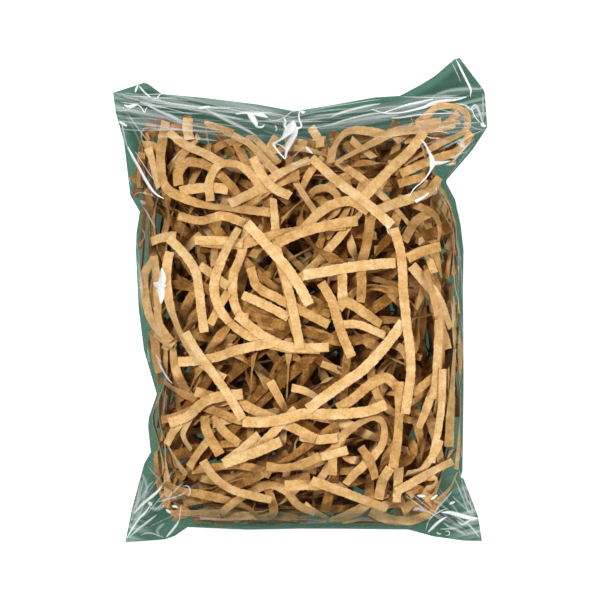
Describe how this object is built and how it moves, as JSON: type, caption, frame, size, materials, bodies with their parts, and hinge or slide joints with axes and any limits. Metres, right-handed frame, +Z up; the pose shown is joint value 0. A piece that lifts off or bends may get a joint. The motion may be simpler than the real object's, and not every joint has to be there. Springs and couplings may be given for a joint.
{
  "type": "bag of shredded paper",
  "caption": "Clear plastic film bag lying on its back, filled with loose crinkled strips of shredded kraft paper.",
  "frame": {"origin": "middle of the bag's box, on the surface that the bag lies on", "axes": "+X to the right across the bag, +Y along the bag from its bottom seam to its mouth, +Z up through its front"},
  "size_m": [0.169, 0.219, 0.046],
  "materials": {
    "film": "clear, glossy, crinkled",
    "kraft_paper": "matte, fine fibre"
  },
  "bodies": {
    "root": {"back_strip_01": "kraft_paper", "back_strip_02": "kraft_paper", "back_strip_03": "kraft_paper", "back_strip_04": "kraft_paper", "back_strip_05": "kraft_paper", "back_strip_06": "kraft_paper", "back_strip_07": "kraft_paper", "back_strip_08": "kraft_paper", "film_bag": "film", "front_strip_01": "kraft_paper", "front_strip_02": "kraft_paper", "front_strip_03": "kraft_paper", "front_strip_04": "kraft_paper", "front_strip_05": "kraft_paper", "front_strip_06": "kraft_paper", "front_strip_07": "kraft_paper", "front_strip_08": "kraft_paper", "front_strip_09": "kraft_paper", "front_strip_10": "kraft_paper", "front_strip_11": "kraft_paper", "front_strip_12": "kraft_paper", "front_strip_13": "kraft_paper", "front_strip_14": "kraft_paper", "front_strip_15": "kraft_paper", "front_strip_16": "kraft_paper", "front_strip_17": "kraft_paper", "front_strip_18": "kraft_paper", "front_strip_19": "kraft_paper", "front_strip_20": "kraft_paper", "front_strip_21": "kraft_paper", "front_strip_22": "kraft_paper", "front_strip_23": "kraft_paper", "front_strip_24": "kraft_paper", "front_strip_25": "kraft_paper", "front_strip_26": "kraft_paper", "front_strip_27": "kraft_paper", "front_strip_28": "kraft_paper", "front_strip_29": "kraft_paper", "front_strip_30": "kraft_paper", "front_strip_31": "kraft_paper", "front_strip_32": "kraft_paper", "front_strip_33": "kraft_paper", "front_strip_34": "kraft_paper", "front_strip_35": "kraft_paper", "front_strip_36": "kraft_paper", "front_strip_37": "kraft_paper", "front_strip_38": "kraft_paper", "front_strip_39": "kraft_paper", "front_strip_40": "kraft_paper", "front_strip_41": "kraft_paper", "front_strip_42": "kraft_paper", "front_strip_43": "kraft_paper", "front_strip_44": "kraft_paper", "front_strip_45": "kraft_paper", "front_strip_46": "kraft_paper", "front_strip_47": "kraft_paper", "strip_tangle_01": "kraft_paper", "strip_tangle_02": "kraft_paper", "strip_tangle_03": "kraft_paper", "strip_tangle_04": "kraft_paper"}
  },
  "joints": []
}
